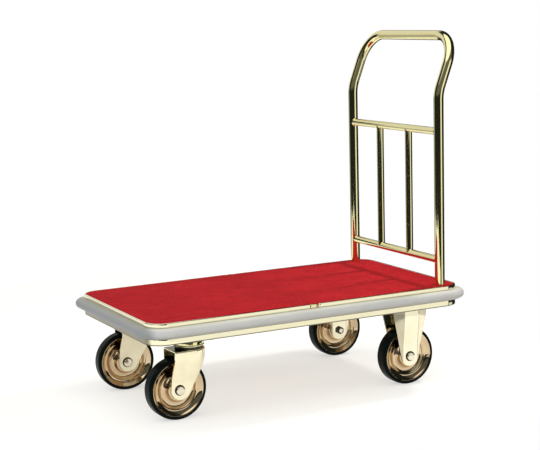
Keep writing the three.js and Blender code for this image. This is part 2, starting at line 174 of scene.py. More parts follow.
veneer = Finish("veneer", Roughness=0.72)
grain = veneer.noise(veneer.place((3, 60, 60)), 9, 6, 0.62)
figure = veneer.noise(veneer.place((1, 14, 14)), 3, 3)
wood = veneer.blend(grain.between(0.3, 0.7), (0.30, 0.17, 0.075, 1), (0.60, 0.42, 0.23, 1))
veneer.set(Base_Color=veneer.blend(figure * 0.5, wood, (0.42, 0.26, 0.12, 1)))
veneer.set(Normal=veneer.relief(grain, 0.4 * MM))
veneer.on("deck_board")

# ---- the carpet ----
# A short red pile on a stiff backing, 5.8 mm thick, glued to the board and cut round the two posts. Its edge
# is rounded over where it meets the trim.


def quads(rows, columns, wrap_rows=False, wrap_columns=False):
    """The four corners of each cell of a grid of points, with the last row or column joined to the first."""
    starts = [np.arange(rows if wrap_rows else rows - 1), np.arange(columns if wrap_columns else columns - 1)]
    a, b = np.meshgrid(*starts, indexing="ij")
    a_next = (a + 1) % rows
    b_next = (b + 1) % columns
    corners = [a * columns + b, a_next * columns + b, a_next * columns + b_next, a * columns + b_next]
    return np.stack(corners, -1).reshape(-1, 4)


def grid(points, wrap_rows=False, wrap_columns=False):
    """A surface from a grid of points of shape (rows, columns, 3)."""
    return points.reshape(-1, 3), [quads(*points.shape[:2], wrap_rows, wrap_columns)]


def deck_edge(length, width, corner, steps):
    """A rounded rectangle's points and outward normals: each corner is corner * (cos a, sin a) about its
    centre."""
    turn = np.linspace(0, np.pi / 2, steps)
    angle = (turn + np.arange(4)[:, None] * np.pi / 2).ravel()
    sign = np.array([[1, 1], [-1, 1], [-1, -1], [1, -1]]).repeat(steps, 0)
    normal = np.stack([np.cos(angle), np.sin(angle)], 1)
    return sign * (np.array([length, width]) / 2 - corner) + corner * normal, normal


def flat(point, height):
    """Points in a plane, lifted to a height."""
    return np.concatenate([point, np.full((len(point), 1), height)], 1)


def face_between(loops, height):
    """A level face bounded by its first loop, with the other loops as holes in it."""
    corners = tessellate_polygon([[Vector((x, y, 0)) for x, y in loop] for loop in loops])
    return flat(np.concatenate(loops), height), [np.array(corners)]


def piece(name, surfaces, finish, body, nodes=(), sharp=35):
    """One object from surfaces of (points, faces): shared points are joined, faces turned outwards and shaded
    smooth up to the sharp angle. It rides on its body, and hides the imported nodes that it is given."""
    start = np.cumsum([0] + [len(points) for points, _ in surfaces])
    faces = [face for s, (_, kinds) in zip(start, surfaces) for kind in kinds for face in (kind + s).tolist()]
    mesh = bpy.data.meshes.new(name)
    mesh.from_pydata(np.concatenate([points for points, _ in surfaces]), [], faces)
    work = bmesh.new()
    work.from_mesh(mesh)
    bmesh.ops.remove_doubles(work, verts=work.verts, dist=2e-6)
    bmesh.ops.dissolve_degenerate(work, edges=work.edges, dist=1e-7)
    bmesh.ops.recalc_face_normals(work, faces=work.faces)
    work.to_mesh(mesh)
    work.free()
    mesh.shade_smooth()
    mesh.set_sharp_from_angle(angle=np.radians(sharp))
    mesh.materials.append(finish.material)
    made = bpy.data.objects.new(name, mesh)
    bpy.context.scene.collection.objects.link(made)
    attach(made, body)
    if nodes:
        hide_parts(*nodes)
    return made


def circle(radius, steps, centre=(0, 0)):
    """Points at equal angles round a centre."""
    angle = np.arange(steps) * 2 * np.pi / steps
    return np.array(centre) + radius * np.stack([np.cos(angle), np.sin(angle)], 1)


carpet_length, carpet_width, carpet_corner = 855.8 * MM, 464.8 * MM, 40 * MM
carpet_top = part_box("carpet")[1][2]
carpet_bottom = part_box("carpet")[0][2]
carpet_round, trim_gap, post_gap = 2.2 * MM, 0.8 * MM, 0.3 * MM
post_x, post_y, post_radius = 384 * MM, 210 * MM, 12.7 * MM
edge, outward = deck_edge(carpet_length, carpet_width, carpet_corner, 20)
carpet_edge = edge - outward * trim_gap
over = np.linspace(0, np.pi / 2, 6)
rounding = np.stack([-carpet_round * (1 - np.sin(over)), carpet_top - carpet_round * (1 - np.cos(over))], 1)
carpet_side = np.concatenate([rounding, [[0, carpet_bottom]]])
carpet_wall = np.stack([flat(carpet_edge + outward * out, height) for out, height in carpet_side])
post_holes = [circle(post_radius + post_gap, 40, (post_x, side * post_y)) for side in (-1, 1)]
carpet_faces = [
    grid(carpet_wall, wrap_columns=True),
    face_between([carpet_edge - outward * carpet_round, *post_holes], carpet_top),
    face_between([carpet_edge, *post_holes], carpet_bottom),
]
for hole in post_holes:
    rim = np.stack([flat(hole, carpet_bottom), flat(hole, carpet_top)])
    carpet_faces.append(grid(rim, wrap_columns=True))

pile = Finish("red_pile", Specular_IOR_Level=0.06)
pile.set(Sheen_Weight=0.06, Sheen_Roughness=0.4, Sheen_Tint=(1.0, 0.3, 0.3, 1))
tuft = pile.node("TexVoronoi", {}, {"Vector": pile.place(), "Scale": 620.0, "Randomness": 1.0}, "Distance")
fleck = pile.noise(pile.place(), 260, 4, 0.75)
shading = pile.noise(pile.place((1.0, 1.6, 1.0)), 26, 5, 0.62)
lie = pile.noise(pile.place((1.2, 2.2, 1)), 7, 3)
red = pile.blend(shading.between(0.25, 0.78), (0.460, 0.0108, 0.0175, 1), (0.650, 0.0180, 0.0270, 1))
red = pile.blend(fleck.between(0.45, 0.70) * 0.6, red, (0.78, 0.046, 0.055, 1))
# Painted shade: the colour is darkest between the tufts, where the pile's relief is lowest.
red = pile.blend(tuft.between(0.30, 0.75) * 0.55, red, (0.200, 0.0045, 0.0065, 1))
pile.set(Base_Color=red, Roughness=0.93 - lie * 0.1)
pile.set(Normal=pile.relief((1 - tuft) * 0.7 + fleck * 0.5 + shading * 0.5, 1.2 * MM, 0.9))
carpet = piece("carpet_sheet", carpet_faces, pile, "platform", ["carpet"])

# ---- the edge frame ----
# A channel pressed from 2 mm brass-plated steel and bent into one ring: a web against the board, a flange
# under the trim, and a deep lower lip with a rounded edge that holds the bumper from below.


def softened(corners, radius, steps=4):
    """A closed outline with each corner drawn as a curve (1-s)^2 A + 2s(1-s) P + s^2 B, where A and B lie at
    the radius, or at under half a side, from the corner P."""
    corner = np.asarray(corners, float)
    radius = np.broadcast_to(np.asarray(radius, float), len(corner))[:, None]
    ends = []
    for neighbour in (np.roll(corner, 1, 0), np.roll(corner, -1, 0)):
        side = neighbour - corner
        reach = np.linalg.norm(side, axis=1, keepdims=True)
        ends.append(corner + side / reach * np.minimum(radius, 0.48 * reach))
    s = np.linspace(0, 1, steps)[None, :, None]
    curve = (1 - s) ** 2 * ends[0][:, None] + 2 * s * (1 - s) * corner[:, None] + s**2 * ends[1][:, None]
    return curve.reshape(-1, 2)


def carried(outline, centre, across, upward, closed_path=False):
    """A closed outline of (a, b) pairs at each station of a path: centre + a * across + b * upward. The
    outline may change along the path. An open path gets a flat cap at each end."""
    outline = np.broadcast_to(outline, (len(centre), *outline.shape[-2:]))
    points = centre[:, None] + outline[..., :1] * across[:, None] + outline[..., 1:] * upward[:, None]
    rows, columns = outline.shape[:2]
    faces = [quads(rows, columns, closed_path, True)]
    if not closed_path:
        for row in (0, rows - 1):
            cap = tessellate_polygon([[Vector((a, b, 0)) for a, b in outline[row]]])
            faces.append(np.array(cap) + row * columns)
    return points.reshape(-1, 3), faces


def upright(count):
    """The vertical direction at each station."""
    return np.tile([0.0, 0.0, 1.0], (count, 1))


def level(direction):
    """Directions in the plane, as vectors in space."""
    return np.concatenate([direction, np.zeros((len(direction), 1))], 1)


def polished_metal(name, colour, dull, roughness=0.06, ripple=0.05 * MM):
    """Plated metal, buffed: faint ripples of the sheet, a colour that drifts, and dull patches from hands."""
    metal = Finish(name, Metallic=1.0)
    cloud = metal.noise(metal.place(), 16, 4, 0.6)
    smear = metal.noise(metal.place(), 55, 4, 0.65)
    metal.set(Base_Color=metal.blend(cloud.between(0.35, 0.75) * 0.5, colour, dull))
    metal.set(Roughness=smear.between(0.5, 0.8) * 0.06 + roughness)
    metal.set(Normal=metal.relief(metal.noise(metal.place(), 11, 1), ripple, 1.0))
    return metal


def paint_shade(metal, share):
    """Turns the metal dark brown by a share: painted shade and painted dark reflections, where each caller's
    mask puts them.
    """
    polished = Wire(metal, metal.surface.inputs["Base Color"].links[0].from_socket)
    metal.set(Base_Color=metal.blend(share * 0.95, polished, (0.10, 0.085, 0.055, 1)))


lip = 5.6 * MM
web = -9.3 * MM
frame_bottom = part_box("edge_frame")[0][2]
lower_lip_top = 215.5 * MM
flange_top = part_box("edge_frame")[1][2]
sheet = 2 * MM
channel = softened(
    [
        (web, frame_bottom),
        (lip, frame_bottom),
        (lip, lower_lip_top),
        (lip - sheet, lower_lip_top),
        (lip - sheet, frame_bottom + sheet),
        (web + sheet, frame_bottom + sheet),
        (web + sheet, flange_top - sheet),
        (-MM, flange_top - sheet),
        (-MM, flange_top),
        (web, flange_top),
    ],
    np.array([2.4, 2.6, 0.9, 0.9, 1, 1, 1, 0.8, 0.8, 2]) * MM,
    5,
)
frame_brass = polished_metal("frame_brass", (0.89, 0.85, 0.63, 1), (0.86, 0.79, 0.53, 1))
frame_height = frame_brass.along("Z")
# Painted shade: the channel's underside and its rounded bottom edge are darkened in the colour.
painted_underside_shade = 1 - frame_height.between(frame_bottom + 1.8 * MM, frame_bottom + 3.8 * MM)
# Painted shade: the metal is darkened from the lower lip's top edge up, under the bumper's nose.
painted_lip_top_shade = frame_height.between(lower_lip_top - 2.1 * MM, lower_lip_top - 0.8 * MM)
# Painted dark reflection: the front end of the channel is darkened in the colour.
front_lip = -carpet_length / 2 - lip
painted_front_end_dark = 1 - frame_brass.along("X").between(front_lip + 2 * MM, front_lip + 9.5 * MM)
paint_shade(frame_brass, painted_underside_shade + painted_lip_top_shade + painted_front_end_dark * 0.84)
ring = carried(channel, flat(edge, 0), level(outward), upright(len(edge)), True)
piece("edge_channel", [ring], frame_brass, "platform", ["edge_frame"])

# ---- the edge trim ----
# A brass bead that hooks over the frame's flange and stands outside the carpet. It comes in two halves, and a
# short cover closes the joint on each long side, with rounded ends that leave a small notch.
trim_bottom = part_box("front_edge_trim")[0][2]
trim_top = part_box("front_edge_trim")[1][2]
skirt = trim_bottom - 2.5 * MM
board_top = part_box("deck_board")[1][2]
joint_start, joint_end = (corner[0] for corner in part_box("left_trim_cover"))
notch, cover_notch = 1.6 * MM, 6 * MM


def trim_outline(inset):
    """The bead's outline, drawn in by the inset from its outer face and its top where it rounds off at an
    end."""
    front = lip - inset
    top = trim_top - inset
    corners = [
        (web, trim_bottom),
        (-0.7 * MM, trim_bottom),
        (-0.7 * MM, skirt),
        (front, skirt),
        (front, top),
        (0.3 * MM, top),
        (0.3 * MM, board_top),
        (web, board_top),
    ]
    return softened(corners, np.array([0.8, 0.3, 0.3, 0.9, 1.6, 0.9, 0.3, 0.3]) * MM, 6)


def rounded_end(start, stop, radius, steps=7):
    """Distances from start towards stop, with insets r - sqrt(r^2 - (r - d)^2) over the first radius."""
    d = radius * (1 - np.cos(np.linspace(0, np.pi / 2, steps)))
    inset = radius - np.sqrt(np.maximum(radius**2 - (radius - d) ** 2, 0))
    return start + np.sign(stop - start) * d, inset


def trim_half(name, end_x, end_radius, corner_columns):
    """A bead from one joint round two corners of the deck to the other joint."""
    x, inset = rounded_end(end_x, end_x + 0.1 * np.sign(edge[corner_columns[0], 0]), end_radius)
    corners = edge[corner_columns]
    turn = outward[corner_columns]
    first = np.stack([x, np.full_like(x, corners[0, 1])], 1)
    last = np.stack([x[::-1], np.full_like(x, corners[-1, 1])], 1)
    where = np.concatenate([first, corners, last])
    normal = np.concatenate([np.tile(turn[0], (len(x), 1)), turn, np.tile(turn[-1], (len(x), 1))])
    insets = np.concatenate([inset, np.zeros(len(corners)), inset[::-1]])
    outline = np.stack([trim_outline(i) for i in insets])
    bead = carried(outline, flat(where, 0), level(normal), upright(len(where)))
    piece(name, [bead], trim_brass, "platform", [name.replace("bead", "edge_trim")])


trim_brass = polished_metal("trim_brass", (0.89, 0.85, 0.63, 1), (0.86, 0.79, 0.53, 1))
quarter = len(edge) // 4
trim_half("front_bead", joint_start - 0.9 * MM, notch, np.arange(quarter, 3 * quarter))
trim_half("rear_bead", joint_end + 0.9 * MM, cover_notch, np.arange(3 * quarter, 5 * quarter) % (4 * quarter))
cover_brass = polished_metal("cover_brass", (0.86, 0.75, 0.46, 1), (0.80, 0.67, 0.36, 1), 0.1)
for name, side in (("left", -1), ("right", 1)):
    x_start, inset_start = rounded_end(joint_start, joint_end, 1.3 * MM)
    x_end, inset_end = rounded_end(joint_end, joint_start, cover_notch)
    x = np.concatenate([x_start, x_end[::-1]])
    outline = np.stack([trim_outline(i) for i in np.concatenate([inset_start, inset_end[::-1]])])
    where = flat(np.stack([x, np.full_like(x, side * carpet_width / 2)], 1), 0)
    cover = carried(outline, where, np.tile([0.0, side, 0.0], (len(x), 1)), upright(len(x)))
    piece(f"{name}_bead_cover", [cover], cover_brass, "platform", [f"{name}_trim_cover"])

# ---- the bumper ----
# A grey rubber extrusion pushed into the channel: a rounded nose that stands 29 mm outside the carpet, and a
# foot behind the lower lip. Its two ends meet in the middle of the rear edge.
bumper_low, bumper_high = 216.6 * MM, 241.7 * MM
nose_root = 8 * MM
bumper_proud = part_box("bumper")[1][0] - carpet_length / 2
turn = np.linspace(-np.pi / 2, np.pi / 2, 33)
middle_z = (bumper_low + bumper_high) / 2
nose_out = nose_root + (bumper_proud - nose_root) * np.cos(turn) ** 0.8
nose = np.stack([nose_out, middle_z + (bumper_high - bumper_low) / 2 * np.sin(turn)], 1)
foot_front = lip - sheet - 0.3 * MM
foot_back = web + sheet + 0.3 * MM
foot_low = frame_bottom + sheet + MM
foot = [(foot_back, foot_low), (foot_front, foot_low), (foot_front, bumper_low)]
bumper_outline = np.concatenate([foot, nose, [(foot_back, bumper_high)]])
ends_y = np.array([0.3, 0.7, 1.6]) * MM
rear_x = carpet_length / 2
start_end = np.stack([np.full(3, rear_x), ends_y], 1)
stop_end = np.stack([np.full(3, rear_x), -ends_y[::-1]], 1)
bumper_where = np.concatenate([start_end, edge, stop_end])
bumper_normal = np.concatenate([np.tile([1.0, 0.0], (3, 1)), outward, np.tile([1.0, 0.0], (3, 1))])
shrink = np.zeros(len(bumper_where))
shrink[[0, 1, -2, -1]] = [1.1 * MM, 0.35 * MM, 0.35 * MM, 1.1 * MM]
drawn_in = np.clip((bumper_outline[:, 0] - lip) / (bumper_proud - lip), 0, 1)
bumper_outlines = np.tile(bumper_outline, (len(bumper_where), 1, 1))
bumper_outlines[..., 0] -= shrink[:, None] * (drawn_in > 0)
bumper_outlines[..., 1] -= shrink[:, None] * np.sign(bumper_outline[:, 1] - middle_z) * (drawn_in > 0)
rubber = Finish("bumper_rubber", Coat_Weight=0.12, Coat_Roughness=0.35)
bloom = rubber.noise(rubber.place((1, 1, 0.5)), 18, 5, 0.65)
dust = rubber.noise(rubber.place(), 260, 3, 0.7)
extruded = rubber.noise(rubber.place((6, 6, 700)), 1.0, 2.0)
grey = rubber.blend(bloom.between(0.2, 0.85), (0.515, 0.520, 0.525, 1), (0.565, 0.568, 0.555, 1))
grey = rubber.blend(dust.between(0.55, 0.8) * 0.35, grey, (0.60, 0.60, 0.57, 1))
# Painted light on the nose: a painted highlight makes it pale on top, painted shade darkens its lower half,
# and a painted dark reflection darkens the front end.
rubber_height = rubber.along("Z")
painted_top_highlight = rubber_height.between(bumper_high - 5.2 * MM, bumper_high - 0.2 * MM)
painted_lower_shade = 1 - rubber_height.between(bumper_low + 1.4 * MM, bumper_low + 16.4 * MM)
grey = rubber.blend(painted_top_highlight * 0.8, grey, (0.74, 0.74, 0.66, 1))
grey = rubber.blend(painted_lower_shade * 0.75, grey, (0.245, 0.235, 0.195, 1))
front_nose = -carpet_length / 2 - bumper_proud
# Painted dark reflection: the front end of the nose is darkened in the colour.
painted_nose_end_dark = 1 - rubber.along("X").between(front_nose + 14.3 * MM, front_nose + 36.3 * MM)
grey = rubber.blend(painted_nose_end_dark * 0.62, grey, (0.115, 0.125, 0.135, 1))
# Painted shade: a thin dark band along the nose's bottom edge, where it meets the lip.
painted_contact_shade = 1 - rubber_height.between(bumper_low + 1.6 * MM, bumper_low + 3.4 * MM)
rubber.set(Base_Color=rubber.blend(painted_contact_shade * 0.9, grey, (0.045, 0.045, 0.04, 1)), Roughness=bloom * 0.12 + 0.40)
rubber.set(Normal=rubber.relief(extruded * 0.6 + dust * 0.4, 0.3 * MM, 0.5))
bumper = carried(bumper_outlines, flat(bumper_where, 0), level(bumper_normal), upright(len(bumper_where)))
piece("bumper_strip", [bumper], rubber, "platform", ["bumper"], 40)

# ---- the caster rails ----
# Two channels of 3 mm zinc-plated steel across the frame, open upwards, that carry the casters. The board
# rests on their edges.
zinc = Finish("zinc_plate", Metallic=1.0)
spangle = zinc.node("TexVoronoi", {}, {"Vector": zinc.place(), "Scale": 140.0}, "Distance")
brushed = zinc.noise(zinc.place((8, 900, 60)), 1.5, 3, 0.6)
stain = zinc.noise(zinc.place(), 24, 5, 0.65)
plated = zinc.blend(spangle, (0.60, 0.60, 0.57, 1), (0.70, 0.70, 0.68, 1))
zinc.set(Base_Color=zinc.blend(stain.between(0.5, 0.85) * 0.5, plated, (0.42, 0.40, 0.35, 1)))
zinc.set(Roughness=0.30 + brushed * 0.12 + stain * 0.08, Normal=zinc.relief(brushed, 0.06 * MM, 0.6))
wall = 3 * MM
for name in ("front_caster_rail", "rear_caster_rail"):
    low, high = (np.array(corner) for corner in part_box(name))
    half = (high[0] - low[0]) / 2
    rail = softened(
        [
            (-half, low[2]),
            (half, low[2]),
            (half, high[2]),
            (half - wall, high[2]),
            (half - wall, low[2] + wall),
            (wall - half, low[2] + wall),
            (wall - half, high[2]),
            (-half, high[2]),
        ],
        np.array([4, 4, 0.6, 0.6, 1.5, 1.5, 0.6, 0.6]) * MM,
        5,
    )
    middle = (low[0] + high[0]) / 2
    ends = np.array([[middle, low[1], 0], [middle, high[1], 0]])
    cross_channel = carried(rail, ends, np.tile([1.0, 0.0, 0.0], (2, 1)), upright(2))
    channel_name = name.replace("caster_rail", "cross_channel")
    piece(channel_name, [cross_channel], zinc, "platform", [name])

# ---- the push handle ----
# One 25.4 mm tube, bent: two uprights that lean away from the deck at the top and run into the grip. It
# passes through the carpet and the board, and a saddle under the board holds each upright with a cross bolt.
brass = polished_metal("polished_brass", (0.86, 0.80, 0.45, 1), (0.82, 0.74, 0.38, 1))
bend_z = 746 * MM
lean = np.radians(21)
bend_radius, grip_corner = 100 * MM, 75 * MM
tube_wall = 1.2 * MM
post_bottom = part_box("handle_tube")[0][2]
grip_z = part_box("handle_tube")[1][2] - post_radius
UP = np.array([0.0, 0.0, 1.0])
leaning = np.array([np.sin(lean), 0, np.cos(lean)])
across_deck = np.array([0.0, 1.0, 0.0])


def arc(start, forward, sideways, radius, angle, steps):
    """Points start + r sin(a) forward + r (1 - cos(a)) sideways, and the directions cos(a) forward + sin(a)
    sideways."""
    a = np.linspace(0, angle, steps)[:, None]
    points = start + radius * (np.sin(a) * forward + (1 - np.cos(a)) * sideways)
    return points, np.cos(a) * forward + np.sin(a) * sideways


bend_start = np.array([post_x, -post_y, bend_z - bend_radius * np.tan(lean / 2)])
bend_corner = np.array([post_x, -post_y, bend_z])
grip_start = bend_corner + leaning * ((grip_z - bend_z) / np.cos(lean) - grip_corner)
bend = arc(bend_start, UP, np.array([1.0, 0, 0]), bend_radius, lean, 16)
corner = arc(grip_start, leaning, across_deck, grip_corner, np.pi / 2, 40)
foot_point = np.array([[post_x, -post_y, post_bottom]])
left_points = np.concatenate([foot_point, bend[0], corner[0]])
left_ways = np.concatenate([UP[None], bend[1], corner[1]])
mirror = np.array([1, -1, 1])
tube_points = np.concatenate([left_points, (left_points * mirror)[::-1]])
tube_ways = np.concatenate([left_ways, (-left_ways * mirror)[::-1]])
# The first axis of each section is square to Y and to the tube, and stays on the same side over the grip.
rising = np.where(tube_ways[:, 2:] < 0, -tube_ways, tube_ways)
spoke_first = np.cross(across_deck, np.where(np.abs(tube_ways[:, 1:2]) > 1e-6, leaning, rising))
spoke_first /= np.linalg.norm(spoke_first, axis=1, keepdims=True)
spoke_second = np.cross(tube_ways, spoke_first)


def pipe(points, first, second, radius, wall, around=64):
    """A tube's wall: rings of radius r on the path out and r - wall on the way back, joined into one closed
    skin."""
    ring = circle(1.0, around)
    spokes = ring[None, :, :1] * first[:, None] + ring[None, :, 1:] * second[:, None]
    outer = points[:, None] + radius * spokes
    inner = points[:, None] + (radius - wall) * spokes
    return grid(np.concatenate([outer, inner[::-1]]), True, True)


tube = pipe(tube_points, spoke_first, spoke_second, post_radius, tube_wall)
piece("bent_handle", [tube], brass, "platform", ["handle_tube"], 50)

# ---- the crossbars and balusters ----
# Tubes of 19 mm across between the uprights, and two upright ones between those. Each end is shaped to the
# tube that it meets and is brazed with a small fillet, and the braze is buffed down with the rest.
bar_radius = 9.5 * MM
mitre_gap = 0.05 * MM
upper_z, lower_z, baluster_y = 647.5 * MM, 317 * MM, 70 * MM


def bar(length_half, bar_radius, host_radius, fillet, around=64):
    """A bar from -h to h along its axis. Near an end its radius grows as r + f (1 - sqrt(1 - (1 - d/f)^2)),
    and each line of it stops where it meets the host tube, at h - sqrt(R^2 - (radius cos a)^2)."""
    a = np.arange(around) * 2 * np.pi / around
    d = fillet * (1 - np.cos(np.linspace(np.pi / 2, 0, 7)))
    grow = fillet * (1 - np.sqrt(np.maximum(1 - (1 - d / fillet) ** 2, 0)))
    # The fillet is cut off where it would be wider than the tube that it lies on.
    widest = host_radius / np.maximum(np.abs(np.cos(a)), 1e-6) * 0.9999
    radius = np.minimum((bar_radius + grow)[:, None], widest)
    stop = length_half - np.sqrt(np.maximum(host_radius**2 - (radius * np.cos(a)) ** 2, 0))
    foot = length_half - np.sqrt(np.maximum(host_radius**2 - (radius[-1:] * np.cos(a)) ** 2, 0))
    along = np.minimum(stop, foot) - d[:, None]
    one_end = np.stack([radius * np.cos(a), along, radius * np.sin(a)], -1)
    other = one_end * [1, -1, 1]
    return np.concatenate([other[::-1], one_end])


crossbar = bar(post_y, bar_radius, post_radius + mitre_gap, 1.8 * MM)
for name, z in (("upper", upper_z), ("lower", lower_z)):
    tube = grid(crossbar + [post_x, 0, z], False, True)
    piece(f"{name}_crossbar_tube", [tube], brass, "platform", [f"{name}_crossbar"])
half = (upper_z - lower_z) / 2
baluster = bar(half, bar_radius * 0.998, bar_radius + mitre_gap, 1.4 * MM)[..., [0, 2, 1]]
for name, y in (("left", -baluster_y), ("right", baluster_y)):
    tube = grid(baluster + [post_x, y, lower_z + half], False, True)
    piece(f"{name}_baluster_tube", [tube], brass, "platform", [f"{name}_baluster"])
zinc.on("left_handle_saddle", "right_handle_saddle", "left_handle_bolt", "right_handle_bolt")

# ---- the caster plates ----
# Each caster hangs from its rail by a plate with a hexagon bolt near each corner. The swivel casters' plates
# are 112 x 90 mm, with a turned boss over the ball race.
cage_steel = Finish("cage_steel", Metallic=0.85)
oil = cage_steel.noise(cage_steel.place(), 60, 4, 0.6)
cage_steel.set(Base_Color=cage_steel.blend(oil, (0.030, 0.028, 0.025, 1), (0.085, 0.078, 0.066, 1)))
cage_steel.set(Roughness=0.30 + oil * 0.25, Normal=cage_steel.relief(oil, 0.1 * MM, 0.6))
joints = {joint["name"]: joint for joint in frame["joints"]}
swivels = {name: joints[f"{name}_swivel_turn"] for name in ("front_left", "front_right")}


def turned(profile, segments=96, axis="z"):
    """A profile of (radius, height) pairs turned about Z, as (r cos a, r sin a, h), or the same about Y."""
    profile = np.asarray(profile, float)
    a = np.arange(segments) * 2 * np.pi / segments
    r, h = profile[:, :1], np.broadcast_to(profile[:, 1:], (len(profile), segments))
    points = np.stack([r * np.cos(a), r * np.sin(a), h], -1)
    return points if axis == "z" else points[..., [1, 2, 0]]


def layered(outline_at, inset_height):
    """A plate with a soft edge: one outline for each (inset, height), and a flat face at both ends."""
    loops = [flat(outline_at(inset), height) for inset, height in inset_height]
    count = len(loops[0])
    cap = np.array(tessellate_polygon([[Vector(p) * Vector((1, 1, 0)) for p in loops[0]]]))
    wall = quads(len(loops), count, False, True)
    return np.concatenate(loops), [wall, cap, cap + (len(loops) - 1) * count]


def soft_edge(low, high, radius, steps=4):
    """Insets and heights round both edges of a plate, each a quarter circle of the radius."""
    a = np.linspace(0, np.pi / 2, steps)
    inset = radius * (1 - np.sin(a))
    lift = radius * (1 - np.cos(a))
    return np.concatenate([np.stack([inset, low + lift], 1), np.stack([inset[::-1], high - lift[::-1]], 1)])


def hexagon(size, low, high, chamfer, around=72):
    """A hexagon bolt head or nut: at height h and angle a the radius is the hexagon's, s / cos(a mod 60), but
    no more than a cone that cuts its corners at each end."""
    a = np.arange(around) * 2 * np.pi / around
    flats = size / np.cos((a + np.pi / 6) % (np.pi / 3) - np.pi / 6)
    steps = np.array([0.0, 0.35, 0.7, 1.0])
    height = np.concatenate([low + chamfer * steps, high - chamfer * steps[::-1]])
    from_end = np.minimum(height - low, high - height)
    cone = size * 0.99 + from_end * 1.75
    radius = np.minimum(flats[None, :], cone[:, None])
    radius = np.concatenate([np.zeros((1, around)), radius, np.zeros((1, around))])
    height = np.concatenate([[low], height, [high]])
    rise = np.broadcast_to(height[:, None], radius.shape)
    return np.stack([radius * np.cos(a), radius * np.sin(a), rise], -1)


def plate_bolts(name, centre, reach_x, reach_y):
    """A washer and a hexagon head under the plate near each corner."""
    washer = softened([(0, -1.4), (8.2, -1.4), (8.2, 0), (0, 0)], [0, 0.4, 0.4, 0])
    parts = []
    for way_x, way_y in ((-1, -1), (-1, 1), (1, -1), (1, 1)):
        at = np.array([centre[0] + way_x * reach_x, centre[1] + way_y * reach_y, plate_bottom])
        parts.append(grid(turned(washer * MM, 40) + at, False, True))
        parts.append(grid(hexagon(6.4 * MM, -6.8 * MM, -1.4 * MM, 0.9 * MM) + at, False, True))
    piece(name, parts, zinc, "platform", sharp=28)


plate_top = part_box("front_left_mounting_plate")[1][2]
plate_bottom = plate_top - 4.2 * MM
boss = [(0, 183.5), (29, 183.5), (30, 184.5), (30, 192.5)]
boss += [(30.8, 195.2), (33.5, 196.7), (33.5, 197.4), (0, 197.4)]


def caster_plate(length, width, corner):
    """A plate with rounded corners and soft edges, about the vertical line through zero."""

    def outline_at(inset):
        return deck_edge(length - 2 * inset, width - 2 * inset, corner - inset, 8)[0]

    return layered(outline_at, soft_edge(plate_bottom, plate_top, MM))


for name, joint in swivels.items():
    centre = np.array([*joint["pos_m"][:2], 0.0])
    points, faces = caster_plate(112 * MM, 90 * MM, 9 * MM)
    parts = [(points + centre, faces), grid(turned(np.array(boss) * MM) + centre, False, True)]
    piece(f"{name}_plate", parts, cage_steel, "platform", [f"{name}_mounting_plate"])
    plate_bolts(f"{name}_plate_bolts", centre, 45 * MM, 34 * MM)

# ---- the ball races and kingpins ----
# Between the plate and the yoke: a brass-plated ring with a rolled lower edge over the balls, the dark cage
# that turns with the yoke, and the kingpin's head under the crown.
race = [(10, 177.3), (37.4, 177.3), (38.8, 178.9), (37.2, 181.3)]
race += [(37.2, 189), (34.6, 189), (34.6, 183.1), (10, 183.1)]
race = softened(race, [0.3, 0.6, 1.6, 1.2, 0.8, 0.5, 0.5, 0.3])
kingpin = [(0, 160.6), (8, 160.6), (11, 161.0), (13.4, 162.6), (14, 164)]
kingpin += [(14, 167.1), (8, 167.1), (8, 199.9), (0, 199.9)]
cage = softened([(10, 171.3), (34, 171.3), (34, 177), (10, 177)], [0.3, 0.8, 0.8, 0.3])
for name, joint in swivels.items():
    centre = np.array([*joint["pos_m"][:2], 0.0])
    ring = grid(turned(race * MM) + centre, True, True)
    piece(f"{name}_race", [ring], brass, "platform", [f"{name}_race_ring"], 50)
    pin = grid(turned(np.array(kingpin) * MM, 64) + centre, False, True)
    piece(f"{name}_pin", [pin], zinc, "platform", [f"{name}_kingpin"])
    ring = grid(turned(cage * MM) + centre, True, True)
    piece(f"{name}_cage", [ring], cage_steel, f"{name}_swivel", [f"{name}_ball_cage"], 40)

# ---- the swivel yokes ----
# Each is pressed from one 3 mm sheet: a flat crown, round behind, with a rolled shoulder, and a skirt that
# runs down into two legs drawn together towards the axle. The edge of the sheet shows all round.
leg_sheet = 3 * MM
crown_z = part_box("front_left_yoke")[1][2]
yoke_head, leg_foot = 34.5 * MM, 24.7 * MM
crown_back, crown_front = 40 * MM, -50.5 * MM
shoulder = 5 * MM
foot_radius = 25 * MM


def drawing(height, head, foot, top, bottom, ease=0.12):
    """The leg's half width at a height: head above top, foot below bottom, and an eased slant between."""
    t = (height - bottom) / (top - bottom)
    soft = (np.sqrt(t**2 + ease**2) - np.sqrt((t - 1) ** 2 + ease**2) + 1) / 2
    return foot + (head - foot) * np.clip(soft, 0, 1)


def leg_front(z):
    """How far forward the leg reaches at a height: the crown's edge, then slanting out to the round foot."""
    return np.interp(z, np.array([76, 114, 140, 171]) * MM, np.array([-60, -56.5, -52, -50.5]) * MM)


def leg_end(x):
    """The lowest point of the leg at each x: the foot's arc, then the edge that climbs to the skirt."""
    arc_part = 76 * MM - np.sqrt(np.maximum(foot_radius**2 - (x + 35 * MM) ** 2, 0))
    edge_x = np.array([-12.4, 2, 17, 24.5, 31, 34.5, 37, 40.1]) * MM
    edge_z = np.array([65.4, 90, 116, 130, 143, 147.6, 149.5, 150.3]) * MM
    return np.where(x < -12.4 * MM, arc_part, np.interp(x, edge_x, edge_z))


